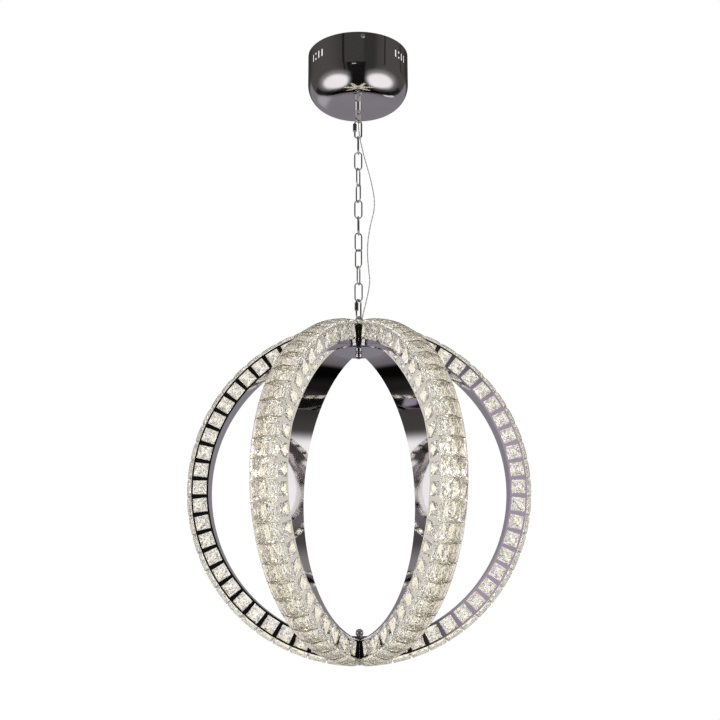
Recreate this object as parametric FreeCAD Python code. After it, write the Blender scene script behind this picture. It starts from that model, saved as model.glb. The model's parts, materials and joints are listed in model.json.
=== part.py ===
"""Orb chandelier: a sphere of six crystal arcs on a chain under a round canopy.

Millimetres, +Z up. The origin is on the ceiling, on the lamp's vertical axis, and everything hangs
below it. The front is -Y. One of the three rings of the orb lies in the XZ plane.
"""

import FreeCAD, Part
import math
import os

from FreeCAD import Rotation, Vector

# ---- driving dimensions ---------------------------------------------------------------------

# Canopy
canopy_radius = 97.0
canopy_height = 106.0
canopy_corner_radius = 45.0
canopy_wall = 1.2
canopy_turn = 5.6  # degrees that the canopy is turned about the lamp's axis
vent_group_angles = (-58.5, 50.5, 121.5, -129.5)  # from the front
vent_pitch = 9.5  # along the wall
vent_height = 27.2  # below the ceiling
vent_slot_length = 15.0
vent_slot_width = 3.4
vent_dot_radius = 2.1
vent_dot_spacing = 10.8

# Ceiling bracket and what hangs on it
bracket_plate = 2.0
bracket_strap_width = 30.0
bracket_body_width = 100.0
bracket_body_length = 120.0
bracket_lug_height = 22.0
ceiling_hole_radius = 2.6
ceiling_hole_spacing = 70.0
wire_hole_radius = 8.0
side_screw_drop = 9.2  # of the canopy's side screws below the ceiling
side_screw_radius = 2.0
side_screw_head_radius = 4.0
side_screw_head_height = 2.6
driver_length = 110.0
driver_width = 36.0
driver_height = 24.0
driver_offset = 30.0  # of the driver's middle, left of the axis
driver_foot_length = 10.0
driver_foot_thickness = 3.0
driver_screw_radius = 1.5
terminal_length = 30.0
terminal_width = 16.0
terminal_height = 13.0
terminal_offset = 24.0  # of the terminal block's middle, right of the axis
terminal_screw_radius = 1.8
lead_radius = 1.2

# Loop under the canopy
loop_wire = 3.0
loop_outer_width = 16.0
loop_outer_length = 27.5
loop_drop = 33.3  # of the loop's lowest point below the canopy
loop_yaw = 55.0
loop_collar_radius = 7.0
stud_radius = 4.0
washer_radius = 11.0
washer_thickness = 1.6
hex_nut_width = 13.0
hex_nut_height = 6.5

# Quick links: ovals with a gap in one leg, closed by a sleeve nut
quick_wire = 3.2
quick_outer_width = 16.0
quick_inner_length = 33.6
quick_gap = 5.0
quick_gap_rise = 6.9  # of the gap's middle above the link's middle
sleeve_length = 16.0
sleeve_width = 6.4
sleeve_rise = 3.8  # of the sleeve's middle above the link's middle
sleeve_clearance = 0.06
top_quick_yaw = 0.0
bottom_quick_yaw = 52.0

# Chain
chain_wire = 2.6
chain_outer_width = 15.8
chain_inner_length = 33.0
chain_yaws = (85.0, 0.0, 64.0, -56.0, 0.0, 83.0, 23.0, -32.0, 69.0, 0.0)

# Eyelet on the orb
eyelet_wire = 3.5
eyelet_inner_radius = 4.5
eyelet_yaw = -38.0
eyelet_collar_radius = 6.5
eyelet_collar_height = 3.6
eyelet_rise = 4.7  # of the eye's lowest point above the disc

# Orb
orb_tip_radius = 305.0  # over the crystals
crystal_height = 10.0  # of the outer crystals beyond the metal
channel_depth = 30.0  # of an arc, from its inner band to its outer lips
ring_width = 50.0
frame_sheet = 1.5
frame_lip = 4.5
arc_count = 6
crystal_pitch = 6.34  # degrees
window_border = 3.0  # of metal inside and outside each window
side_crystal_rise = 4.2  # beyond the side plate
side_crystal_table = 11.0
outer_crystal_girdle = 4.0  # height of the upright edge
outer_crystal_table_length = 0.95  # share of the length, along the arc
outer_crystal_table_width = 0.36  # share of the width, across the arc
pole_clear_radius = 23.0  # no outer crystal comes nearer the axis
led_strip_width = 30.0
led_strip_thickness = 1.2
led_chip_size = 5.0
led_chip_height = 1.4

# Hubs at the poles
hub_disc_radius = 46.0
hub_disc_thickness = 2.5
top_disc_drop = 16.0  # of the inner disc's face inside the arcs
bottom_disc_drop = 10.5
hub_collar_radius = 16.0
hub_tube_radius = 12.0
outer_disc_radius = 22.0
outer_disc_thickness = 3.0
ball_radius = 6.9
ball_sink = 1.6  # of the ball into its flat
bottom_dome_height = 5.4  # of the ball below the bottom's outer disc

# Light cord
cord_radius = 1.0
grommet_radius = 3.2
grommet_flange_radius = 4.6
grommet_flange = 1.5
grommet_nose = 6.0
grommet_nose_radius = 1.7
canopy_cord_x = 0.0
canopy_cord_y = 14.0
orb_cord_x = 5.0
orb_cord_y = 12.0

# Clearances
hang_gap = 0.3  # between a hanging link and the wire that carries it
seat_gap = 0.3  # between a crystal and the metal round it
bore_gap = 0.08  # round a stud in its hole
cord_end_gap = 0.3  # between the cord's lower end and the orb's grommet
crystal_gap = 0.8  # between neighbouring crystals
mitre_gap = 0.15  # from the mitre plane to either arc

# ---- places worked out from the dimensions ---------------------------------------------------

frame_outer_radius = orb_tip_radius - crystal_height
frame_inner_radius = frame_outer_radius - channel_depth
window_size = channel_depth - 2 * window_border
top_disc_height = frame_inner_radius - top_disc_drop  # from the orb's middle
bottom_disc_height = frame_inner_radius - bottom_disc_drop
pole_clear_angle = math.degrees(math.asin(pole_clear_radius / frame_outer_radius))
outer_crystals_each_way = int((90 - pole_clear_angle) / crystal_pitch)  # above and below mid height
side_crystals_each_way = outer_crystals_each_way - 1

canopy_floor = -canopy_height
canopy_floor_inside = canopy_floor + canopy_wall
loop_bottom_inside = canopy_floor - loop_drop + loop_wire
top_quick_inner_top = loop_bottom_inside + hang_gap
top_quick_inner_bottom = top_quick_inner_top - quick_inner_length
chain_pitch = chain_inner_length - hang_gap
chain_first_inner_top = top_quick_inner_bottom + hang_gap
chain_last_inner_bottom = (
    chain_first_inner_top - (len(chain_yaws) - 1) * chain_pitch - chain_inner_length
)
bottom_quick_inner_top = chain_last_inner_bottom + hang_gap
bottom_quick_inner_bottom = bottom_quick_inner_top - quick_inner_length
eyelet_centre = bottom_quick_inner_bottom + hang_gap - eyelet_inner_radius
outer_disc_top = frame_outer_radius + outer_disc_thickness  # above the orb's middle
eyelet_outer_radius = eyelet_inner_radius + eyelet_wire
eyelet_stand = outer_disc_top + eyelet_rise + eyelet_outer_radius  # of its centre above the orb's middle
orb_centre = eyelet_centre - eyelet_stand
cord_start_z = canopy_floor - grommet_flange - grommet_nose
cord_end_z = orb_centre + outer_disc_top + grommet_flange + grommet_nose + cord_end_gap

# The cord's route: down behind the loop, out in a bulge on the right of the chain, and back in.
cord_bends = [  # x, y and the depth below the canopy
    (0.4, 14.6, 27.8),
    (2.4, 15.2, 53.8),
    (10.5, 15.0, 93.8),
    (24.0, 12.6, 143.8),
    (33.2, 10.6, 197.8),
    (21.6, 11.8, 240.8),
    (16.2, 14.2, 283.8),
    (18.6, 15.4, 321.8),
    (21.8, 13.4, 351.8),
    (14.4, 12.2, 388.8),
    (7.0, 12.6, 416.8),
]
cord_route = [(canopy_cord_x, canopy_cord_y, cord_start_z)]
cord_route += [(x, y, canopy_floor - depth) for x, y, depth in cord_bends]
cord_route += [(orb_cord_x, orb_cord_y, cord_end_z)]

X_AXIS = Vector(1, 0, 0)
Y_AXIS = Vector(0, 1, 0)
Z_AXIS = Vector(0, 0, 1)
ORIGIN = Vector(0, 0, 0)
FAR = 2000.0  # longer than the lamp


# ---- helpers -----------------------------------------------------------------------------------


def box(x0, x1, y0, y1, z0, z1):
    return Part.makeBox(x1 - x0, y1 - y0, z1 - z0, Vector(x0, y0, z0))


def upright_cylinder(radius, z0, z1, x=0.0, y=0.0):
    return Part.makeCylinder(radius, z1 - z0, Vector(x, y, z0), Z_AXIS)


def upright_cone(radius0, radius1, z0, z1, x=0.0, y=0.0):
    return Part.makeCone(radius0, radius1, z1 - z0, Vector(x, y, z0), Z_AXIS)


def turned(shape, degrees, axis=Z_AXIS, about=ORIGIN):
    copy = shape.copy()
    copy.rotate(about, axis, degrees)
    return copy


def moved(shape, x, y, z):
    copy = shape.copy()
    copy.translate(Vector(x, y, z))
    return copy


def fused(shapes):
    whole = shapes[0].multiFuse(shapes[1:])
    return whole.removeSplitter()


def revolved(points):
    """A solid of revolution about Z. Each item is (radius, z), or (radius, z, "arc", radius, z)
    for an arc through the second point to the first."""
    edges = []
    here = None
    for item in points:
        there = Vector(item[0], 0, item[1])
        if here is not None and len(item) > 2:
            through = Vector(item[3], 0, item[4])
            edges.append(Part.Arc(here, through, there).toShape())
        elif here is not None:
            edges.append(Part.LineSegment(here, there).toShape())
        here = there
    first = Vector(points[0][0], 0, points[0][1])
    edges.append(Part.LineSegment(here, first).toShape())
    return Part.Face(Part.Wire(edges)).revolve(ORIGIN, Z_AXIS, 360)


def hexagon_prism(width, z0, z1, x=0.0, y=0.0):
    corner = width / math.sqrt(3)
    points = [
        Vector(x, y, z0) + Vector(math.cos(math.radians(60 * k)), math.sin(math.radians(60 * k)), 0) * corner
        for k in range(7)
    ]
    return Part.Face(Part.makePolygon(points)).extrude(Vector(0, 0, z1 - z0))


def oval_ring(wire, outer_width, inner_length):
    """A chain link in the XZ plane, its middle at the origin."""
    bend = (outer_width - wire) / 2
    straight = inner_length + wire - 2 * bend
    torus = Part.makeTorus(bend, wire / 2, ORIGIN, Y_AXIS)
    above = box(-FAR, FAR, -FAR, FAR, 0, FAR)
    below = box(-FAR, FAR, -FAR, FAR, -FAR, 0)
    top = moved(torus.common(above), 0, 0, straight / 2)
    bottom = moved(torus.common(below), 0, 0, -straight / 2)
    legs = [upright_cylinder(wire / 2, -straight / 2, straight / 2, s * bend) for s in (-1, 1)]
    return fused([top, bottom] + legs)


def hung(shape, yaw, inner_top, inner_length):
    """An oval ring turned by yaw, hung so that its inside top is at that height."""
    return moved(turned(shape, yaw), 0, 0, inner_top - inner_length / 2)


def tube_along(points, radius, name):
    """A tube along straight runs joined by tangent arcs, each as large as its two runs allow."""
    corners = [Vector(*p) for p in points]
    edges = []
    radii = []
    here = corners[0]
    for before, corner, after in zip(corners, corners[1:], corners[2:]):
        back = (before - corner).normalize()
        ahead = (after - corner).normalize()
        half_turn = (math.pi - back.getAngle(ahead)) / 2
        reach = 0.45 * min((before - corner).Length, (after - corner).Length)
        bend = reach / math.tan(half_turn)
        radii.append(round(bend, 1))
        start = corner + back * reach
        end = corner + ahead * reach
        inward = (back + ahead).normalize()
        middle = corner + inward * (bend / math.cos(half_turn) - bend)
        edges.append(Part.LineSegment(here, start).toShape())
        edges.append(Part.Arc(start, middle, end).toShape())
        here = end
    edges.append(Part.LineSegment(here, corners[-1]).toShape())
    path = Part.Wire(edges)
    section = Part.Wire([Part.makeCircle(radius, corners[0], corners[1] - corners[0])])
    tube = path.makePipeShell([section], True, False)
    expected = math.pi * radius**2 * path.Length
    share = round(tube.Volume / expected, 4)
    print(name, "length", round(path.Length, 1), "radii", radii, "volume share", share)
    return tube


def grommet(x, y, face_z, way):
    """A cord grommet on a face at that height; way is +1 with its nose up and -1 down."""
    flange = sorted([face_z, face_z + way * grommet_flange])
    body = upright_cylinder(grommet_flange_radius, flange[0], flange[1], x, y)
    nose_start = face_z + way * grommet_flange
    foot = Vector(x, y, nose_start)
    nose = Part.makeCone(grommet_radius, grommet_nose_radius, grommet_nose, foot, Z_AXIS * way)
    return body.fuse(nose)


# ---- canopy ------------------------------------------------------------------------------------


def make_canopy_cup():
    def cup(radius, corner, floor):
        c = math.cos(math.radians(45))
        arc_r = radius - corner
        arc_z = floor + corner
        return revolved(
            [
                (0, 0),
                (radius, 0),
                (radius, arc_z),
                (arc_r, floor, "arc", arc_r + corner * c, arc_z - corner * c),
                (0, floor),
            ]
        )

    outside = cup(canopy_radius, canopy_corner_radius, canopy_floor)
    inside = cup(canopy_radius - canopy_wall, canopy_corner_radius - canopy_wall, canopy_floor_inside)
    shell = outside.cut(inside)
    cuts = []
    for group in vent_group_angles:
        for column in range(4):
            angle = group + math.degrees((column - 1.5) * vent_pitch / canopy_radius)
            if column == 1:
                for side in (-1, 1):
                    z = -vent_height + side * vent_dot_spacing / 2
                    dot = Part.makeCylinder(vent_dot_radius, FAR, Vector(0, 0, z), Y_AXIS * -1)
                    cuts.append(turned(dot, angle))
            else:
                half = (vent_slot_length - vent_slot_width) / 2
                edge = vent_slot_width / 2
                slot = [box(-edge, edge, -FAR, 0, -vent_height - half, -vent_height + half)]
                for side in (-1, 1):
                    z = -vent_height + side * half
                    slot.append(Part.makeCylinder(edge, FAR, Vector(0, 0, z), Y_AXIS * -1))
                cuts.append(turned(slot[0].multiFuse(slot[1:]), angle))
    screw_hole = side_screw_radius + bore_gap
    for way in (-1, 1):
        cuts.append(Part.makeCylinder(screw_hole, FAR, Vector(0, 0, -side_screw_drop), Y_AXIS * way))
    shell = turned(shell.cut(cuts), canopy_turn)
    holes = [
        upright_cylinder(stud_radius + bore_gap, canopy_floor - 1, canopy_floor_inside + 1),
        upright_cylinder(
            grommet_radius + bore_gap,
            canopy_floor - 1,
            canopy_floor_inside + 1,
            canopy_cord_x,
            canopy_cord_y,
        ),
    ]
    return shell.cut(holes)


lug_outside = canopy_radius - canopy_wall - seat_gap
driver_side = driver_width / 2
driver_foot_end = driver_length / 2 + driver_foot_length
driver_screw_y = driver_length / 2 + driver_foot_length / 2


def make_ceiling_bracket():
    body = box(
        -bracket_body_width / 2,
        bracket_body_width / 2,
        -bracket_body_length / 2,
        bracket_body_length / 2,
        -bracket_plate,
        0,
    )
    half = bracket_strap_width / 2
    reach = math.sqrt(lug_outside**2 - half**2)
    back = reach - bracket_plate
    strap = box(-half, half, -reach, reach, -bracket_plate, 0)
    lugs = [
        box(-half, half, *sorted([way * reach, way * back]), -bracket_lug_height, 0)
        for way in (-1, 1)
    ]
    plate = body.multiFuse([strap] + lugs).removeSplitter()
    holes = [upright_cylinder(wire_hole_radius, -bracket_plate - 1, 1)]
    for way in (-1, 1):
        holes.append(
            upright_cylinder(ceiling_hole_radius, -bracket_plate - 1, 1, 0, way * ceiling_hole_spacing / 2)
        )
        holes.append(
            Part.makeCylinder(side_screw_radius, FAR, Vector(0, 0, -side_screw_drop), Y_AXIS * way)
        )
        holes.append(
            upright_cylinder(
                driver_screw_radius, -bracket_plate - 1, 1, -driver_offset, way * driver_screw_y
            )
        )
        holes.append(
            upright_cylinder(
                terminal_screw_radius - 0.3,
                -bracket_plate - 1,
                1,
                terminal_offset,
                way * terminal_length / 4,
            )
        )
    return turned(plate.cut(holes), canopy_turn)


def make_canopy_side_screws():
    half = bracket_strap_width / 2
    tip = math.sqrt(lug_outside**2 - half**2) - bracket_plate - 3
    screws = []
    for way in (-1, 1):
        base = Vector(0, way * (canopy_radius + bore_gap), -side_screw_drop)
        head = Part.makeCylinder(side_screw_head_radius, side_screw_head_height / 2, base, Y_AXIS * way)
        crown = Part.makeCone(
            side_screw_head_radius,
            side_screw_head_radius * 0.6,
            side_screw_head_height / 2,
            base + Y_AXIS * way * (side_screw_head_height / 2),
            Y_AXIS * way,
        )
        shank = Part.makeCylinder(
            side_screw_radius - bore_gap,
            canopy_radius + bore_gap - tip,
            Vector(0, way * tip, -side_screw_drop),
            Y_AXIS * way,
        )
        slot_y = sorted([way * (canopy_radius + side_screw_head_height - 0.8), way * (canopy_radius + 10)])
        slot = box(-0.5, 0.5, *slot_y, -side_screw_drop - 10, -side_screw_drop + 10)
        screws.append(head.multiFuse([crown, shank]).removeSplitter().cut(slot))
    return turned(Part.makeCompound(screws), canopy_turn)


def make_led_driver():
    top = -bracket_plate
    case = box(
        -driver_offset - driver_side,
        -driver_offset + driver_side,
        -driver_length / 2,
        driver_length / 2,
        top - driver_height,
        top,
    )
    case = case.makeFillet(2.5, [e for e in case.Edges if e.BoundBox.ZLength > driver_height - 0.1])
    feet = box(
        -driver_offset - 8,
        -driver_offset + 8,
        -driver_foot_end,
        driver_foot_end,
        top - driver_foot_thickness,
        top,
    )
    whole = case.fuse(feet).removeSplitter()
    holes = [
        upright_cylinder(driver_screw_radius, top - 10, top + 1, -driver_offset, way * driver_screw_y)
        for way in (-1, 1)
    ]
    return turned(whole.cut(holes), canopy_turn)


def make_driver_screws():
    under = -bracket_plate - driver_foot_thickness - bore_gap
    screws = []
    for way in (-1, 1):
        x, y = -driver_offset, way * driver_screw_y
        head = upright_cylinder(3.0, under - 2.0, under, x, y)
        shank = upright_cylinder(driver_screw_radius - bore_gap, under, -0.2, x, y)
        cross = box(x - 0.4, x + 0.4, y - 2, y + 2, under - 3, under - 1.2)
        cross = cross.fuse(box(x - 2, x + 2, y - 0.4, y + 0.4, under - 3, under - 1.2))
        screws.append(head.fuse(shank).removeSplitter().cut(cross))
    return turned(Part.makeCompound(screws), canopy_turn)


def make_terminal_block():
    top = -bracket_plate
    poles = 3
    pole = terminal_length / poles
    parts = []
    for k in range(poles):
        y = (k - (poles - 1) / 2) * pole
        parts.append(
            box(
                terminal_offset - terminal_width / 2,
                terminal_offset + terminal_width / 2,
                y - pole / 2 + 0.8,
                y + pole / 2 - 0.8,
                top - terminal_height,
                top,
            )
        )
    rail = box(
        terminal_offset - terminal_width / 4,
        terminal_offset + terminal_width / 4,
        -terminal_length / 2,
        terminal_length / 2,
        top - terminal_height * 0.7,
        top,
    )
    whole = fused([rail] + parts)
    holes = []
    for k in range(poles):
        y = (k - (poles - 1) / 2) * pole
        for way in (-1, 1):
            x = terminal_offset + way * terminal_width / 3.4
            holes.append(upright_cylinder(terminal_screw_radius, top - terminal_height - 1, top - 4, x, y))
        holes.append(
            Part.makeCylinder(1.5, FAR, Vector(terminal_offset - terminal_width, y, top - 8), X_AXIS)
        )
    return turned(whole.cut(holes), canopy_turn)


def make_canopy_loop():
    inner_length = loop_outer_length - 2 * loop_wire
    ring = hung(
        oval_ring(loop_wire, loop_outer_width, inner_length),
        loop_yaw,
        loop_bottom_inside + inner_length,
        inner_length,
    )
    collar_bottom = canopy_floor - loop_drop + loop_outer_length - loop_wire
    collar = upright_cylinder(loop_collar_radius, collar_bottom, canopy_floor)
    stud_top = canopy_floor_inside + washer_thickness + hex_nut_height + 5
    stud = upright_cylinder(stud_radius, canopy_floor, stud_top)
    return fused([collar, stud, ring])


def make_loop_washer():
    low = canopy_floor_inside
    ring = upright_cylinder(washer_radius, low, low + washer_thickness)
    bore = upright_cylinder(stud_radius + bore_gap, low - 1, low + washer_thickness + 1)
    cord_side = upright_cylinder(
        grommet_radius + 0.5, low - 1, low + washer_thickness + 1, canopy_cord_x, canopy_cord_y
    )
    return ring.cut([bore, cord_side])


def make_loop_nut():
    low = canopy_floor_inside + washer_thickness
    nut = hexagon_prism(hex_nut_width, low, low + hex_nut_height)
    return nut.cut(upright_cylinder(stud_radius + bore_gap, low - 1, low + hex_nut_height + 1))


def make_canopy_grommet():
    outside = grommet(canopy_cord_x, canopy_cord_y, canopy_floor, -1)
    inside_top = canopy_floor_inside + 7
    through = upright_cylinder(grommet_radius, canopy_floor, inside_top, canopy_cord_x, canopy_cord_y)
    return outside.fuse(through).removeSplitter()


def make_driver_leads():
    """The lead down to the cord's grommet, and the mains lead from the terminal block."""
    lead_top = -bracket_plate - driver_height / 2
    turn = Rotation(Z_AXIS, canopy_turn)
    driver_end = turn.multVec(Vector(-driver_offset, driver_length / 2 + 0.0, lead_top))
    output = [
        (canopy_cord_x, canopy_cord_y, canopy_floor_inside + 7),
        (canopy_cord_x - 1, canopy_cord_y + 2, canopy_floor + 24),
        (-6, 28, canopy_floor + 44),
        (-18, 54, -49),
        (-30, 74, -36),
        (driver_end.x - 2, 76, -19),
        (driver_end.x, driver_end.y + 8, lead_top),
        tuple(driver_end),
    ]
    near_end = turn.multVec(Vector(-driver_offset, -driver_length / 2, lead_top))
    block_side = turn.multVec(
        Vector(terminal_offset - terminal_width / 2, -terminal_length / 3, -bracket_plate - 8)
    )
    mains = [
        tuple(near_end),
        (near_end.x, near_end.y - 7, lead_top),
        (near_end.x + 7, near_end.y - 12, lead_top - 4),
        (-6, -58, -20),
        (2, -40, -22),
        (3, -22, -16),
        (block_side.x - 6, block_side.y - 1, block_side.z - 1),
        tuple(block_side),
    ]
    return Part.makeCompound(
        [tube_along(output, lead_radius, "output lead"), tube_along(mains, lead_radius, "mains lead")]
    )


# ---- chain -------------------------------------------------------------------------------------


def make_quick_link():
    """The open oval, its gap in the leg on the -X side."""
    ring = oval_ring(quick_wire, quick_outer_width, quick_inner_length)
    low = quick_gap_rise - quick_gap / 2
    gap = box(-quick_outer_width, 0, -quick_wire, quick_wire, low, low + quick_gap)
    return ring.cut(gap)


def make_sleeve_nut():
    x = -(quick_outer_width - quick_wire) / 2
    low = sleeve_rise - sleeve_length / 2
    high = low + sleeve_length
    nut = hexagon_prism(sleeve_width, low, high, x)
    corner = sleeve_width / math.sqrt(3)
    chamfer = 0.8
    barrel = upright_cylinder(corner, low + chamfer, high - chamfer, x)
    ends = [
        upright_cone(corner - chamfer, corner, low, low + chamfer, x),
        upright_cone(corner, corner - chamfer, high - chamfer, high, x),
    ]
    nut = nut.common(fused([barrel] + ends))
    return nut.cut(upright_cylinder(quick_wire / 2 + sleeve_clearance, low - 1, high + 1, x))


def make_eyelet():
    """The eye, its collar on the outer disc, and the stud that runs down through the hub."""
    bend = eyelet_inner_radius + eyelet_wire / 2
    ring = Part.makeTorus(bend, eyelet_wire / 2, Vector(0, 0, eyelet_centre), Y_AXIS)
    ring = turned(ring, eyelet_yaw)
    disc_top = orb_centre + outer_disc_top
    collar_top = disc_top + eyelet_collar_height
    collar = upright_cylinder(eyelet_collar_radius, disc_top, collar_top)
    neck_top = eyelet_centre - eyelet_outer_radius + eyelet_wire / 2
    neck = upright_cone(eyelet_collar_radius - 1, eyelet_wire * 0.6, collar_top, neck_top)
    stud = upright_cylinder(stud_radius, orb_centre + top_disc_height - ball_radius, disc_top)
    return fused([collar, neck, stud, ring])


# ---- orb ---------------------------------------------------------------------------------------

# An arc is made in the XZ plane on the +X side, about the orb's middle at the origin, then
# turned about Z and set down at the orb's height.

half_width = ring_width / 2


def arc_band(inner, outer, low, high, reach_degrees=90.0):
    """A half ring of rectangular section: from inner to outer radius, and from low to high in Y."""
    corners = [(inner, low), (outer, low), (outer, high), (inner, high), (inner, low)]
    face = Part.Face(Part.makePolygon([Vector(x, y, 0) for x, y in corners]))
    face.rotate(ORIGIN, Y_AXIS, reach_degrees)
    return face.revolve(ORIGIN, Y_AXIS, -2 * reach_degrees)


def mitre_wedge(clear_radius):
    """The sixth of space round +X that one arc may fill, less a cylinder round the axis."""
    half = math.radians(180 / arc_count)
    start = mitre_gap / math.sin(half)
    far_y = (FAR - start) * math.tan(half)
    points = [Vector(start, 0, -FAR), Vector(FAR, far_y, -FAR), Vector(FAR, -far_y, -FAR)]
    wedge = Part.Face(Part.makePolygon(points + points[:1])).extrude(Vector(0, 0, 2 * FAR))
    return wedge.cut(upright_cylinder(clear_radius, -FAR, FAR))


def at_arc_angle(shape, degrees):
    """A shape made at mid height, moved up the arc by that angle."""
    return turned(shape, -degrees, Y_AXIS)


def make_arc_frame():
    band = arc_band(frame_inner_radius, frame_inner_radius + frame_sheet, -half_width, half_width)
    plates = []
    lips = []
    for side in (-1, 1):
        edge = side * half_width
        plate = sorted([edge, edge - side * frame_sheet])
        lip = sorted([edge, edge - side * frame_lip])
        plates.append(arc_band(frame_inner_radius, frame_outer_radius, *plate))
        lips.append(arc_band(frame_outer_radius - frame_sheet, frame_outer_radius, *lip))
    channel = fused([band] + plates + lips)
    middle = (frame_inner_radius + frame_outer_radius) / 2
    window = box(
        middle - window_size / 2,
        middle + window_size / 2,
        -ring_width,
        ring_width,
        -window_size / 2,
        window_size / 2,
    )
    steps = range(-side_crystals_each_way, side_crystals_each_way + 1)
    windows = [at_arc_angle(window, k * crystal_pitch) for k in steps]
    return channel.cut(windows).common(mitre_wedge(stud_radius + 2))


def rectangle(size_x, size_y, z):
    x, y = size_x / 2, size_y / 2
    return Part.makePolygon(
        [Vector(-x, -y, z), Vector(x, -y, z), Vector(x, y, z), Vector(-x, y, z), Vector(-x, -y, z)]
    )


def make_outer_crystals():
    """Cut blocks across the ring's outer side: an upright edge and a roof with a narrow table."""
    pitch_length = math.radians(crystal_pitch) * frame_outer_radius
    along = pitch_length - crystal_gap
    across = ring_width
    base = frame_outer_radius + seat_gap
    edge_top = base + outer_crystal_girdle
    sections = [
        rectangle(along, across, base),
        rectangle(along, across, edge_top),
        rectangle(
            along * outer_crystal_table_length, across * outer_crystal_table_width, orb_tip_radius
        ),
    ]
    block = Part.makeLoft(sections, True, True)
    block.rotate(ORIGIN, Y_AXIS, 90)
    wedge = mitre_wedge(pole_clear_radius)
    crystals = []
    for k in range(-outer_crystals_each_way, outer_crystals_each_way + 1):
        crystal = at_arc_angle(block, k * crystal_pitch)
        if abs(k) > outer_crystals_each_way - 2:
            crystal = crystal.common(wedge)
        crystals.extend(crystal.Solids)
    return Part.makeCompound(crystals)


def make_side_crystals():
    """Square cut crystals in the windows of both side plates."""
    middle = (frame_inner_radius + frame_outer_radius) / 2
    size = window_size - 2 * seat_gap
    back = half_width - frame_sheet - 1.0
    sections = [
        rectangle(size, size, back),
        rectangle(size, size, half_width + 0.4),
        rectangle(side_crystal_table, side_crystal_table, half_width + side_crystal_rise),
    ]
    front = Part.makeLoft(sections, True, True)
    front.rotate(ORIGIN, X_AXIS, 90)
    crystals = []
    for k in range(-side_crystals_each_way, side_crystals_each_way + 1):
        for flip in (0, 180):
            crystal = moved(turned(front, flip, X_AXIS), middle, 0, 0)
            crystals.append(at_arc_angle(crystal, k * crystal_pitch))
    return Part.makeCompound(crystals)


def make_led_strip():
    base = frame_inner_radius + frame_sheet
    half = led_strip_width / 2
    reach = 84.0
    strip = arc_band(base, base + led_strip_thickness, -half, half, reach)
    chips = []
    chip_base = base + led_strip_thickness / 2
    chip_top = base + led_strip_thickness + led_chip_height
    side = led_chip_size / 2
    chip = box(chip_base, chip_top, -side, side, -side, side)
    for k in range(-outer_crystals_each_way + 1, outer_crystals_each_way):
        for row in (-1, 1):
            chips.append(at_arc_angle(moved(chip, 0, row * half / 2, 0), k * crystal_pitch))
    return strip.multiFuse(chips).common(mitre_wedge(hub_tube_radius + 6))


def at_arc(shape, index):
    """One arc's shape, turned to its place round the orb and set down at the orb's height."""
    return moved(turned(shape, index * 360 / arc_count), 0, 0, orb_centre)


def at_pole(shape, way):
    """A hub piece made for the top, with the orb's middle at the origin, put at either pole."""
    placed = shape if way > 0 else turned(shape, 180, X_AXIS)
    return moved(placed, 0, 0, orb_centre)


stud_hole = stud_radius + bore_gap
band_clear = math.sqrt(frame_inner_radius**2 - hub_collar_radius**2) - seat_gap
band_back = frame_inner_radius + frame_sheet


def make_inner_disc(height):
    disc = upright_cylinder(hub_disc_radius, height, height + hub_disc_thickness)
    rim = [e for e in disc.Edges if e.Closed]
    disc = disc.makeChamfer(0.5, rim)
    return disc.cut(upright_cylinder(stud_hole, 0, FAR))


def make_hub_collar(height):
    collar = upright_cylinder(hub_collar_radius, height + hub_disc_thickness, band_clear)
    return collar.cut(upright_cylinder(stud_hole, 0, FAR))


def make_hub_tube():
    tube = upright_cylinder(hub_tube_radius, band_back + seat_gap, frame_outer_radius)
    return tube.cut(upright_cylinder(stud_hole, 0, FAR))


def make_outer_disc(with_cord):
    disc = upright_cylinder(outer_disc_radius, frame_outer_radius, outer_disc_top)
    holes = [upright_cylinder(stud_hole, 0, FAR)]
    if with_cord:
        holes.append(upright_cylinder(grommet_radius + bore_gap, 0, FAR, orb_cord_x, orb_cord_y))
    return disc.cut(holes)


def make_ball_nut(height):
    """A ball below the inner disc, with a flat against it and a blind bore for the stud."""
    centre = height - ball_radius + ball_sink
    ball = Part.makeSphere(ball_radius, Vector(0, 0, centre))
    below = box(-FAR, FAR, -FAR, FAR, 0, height)
    bore = upright_cylinder(stud_hole, height - ball_radius - bore_gap, FAR)
    return ball.common(below).cut(bore)


def make_bottom_stud():
    low = bottom_disc_height - ball_radius
    return upright_cylinder(stud_radius, low, outer_disc_top + bottom_dome_height / 2)


def make_bottom_ball():
    """The domed nut under the orb: a ball cut off by the outer disc, with a blind bore."""
    face = outer_disc_top
    ball = Part.makeSphere(ball_radius, Vector(0, 0, face + bottom_dome_height - ball_radius))
    beyond = box(-FAR, FAR, -FAR, FAR, face, FAR)
    bore = upright_cylinder(stud_hole, 0, face + bottom_dome_height / 2 + bore_gap)
    return ball.common(beyond).cut(bore)


def make_orb_grommet():
    face = orb_centre + outer_disc_top
    outside = grommet(orb_cord_x, orb_cord_y, face, 1)
    inside_end = face - outer_disc_thickness
    through = upright_cylinder(grommet_radius, inside_end, face, orb_cord_x, orb_cord_y)
    return outside.fuse(through).removeSplitter()


# ---- write every node --------------------------------------------------------------------------


def write(name, shape):
    if not shape.isValid():
        print("NOT VALID", name)
    shape.exportStep(os.path.join("parts", name + ".step"))
    print(name, len(shape.Solids), "solids")


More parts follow.
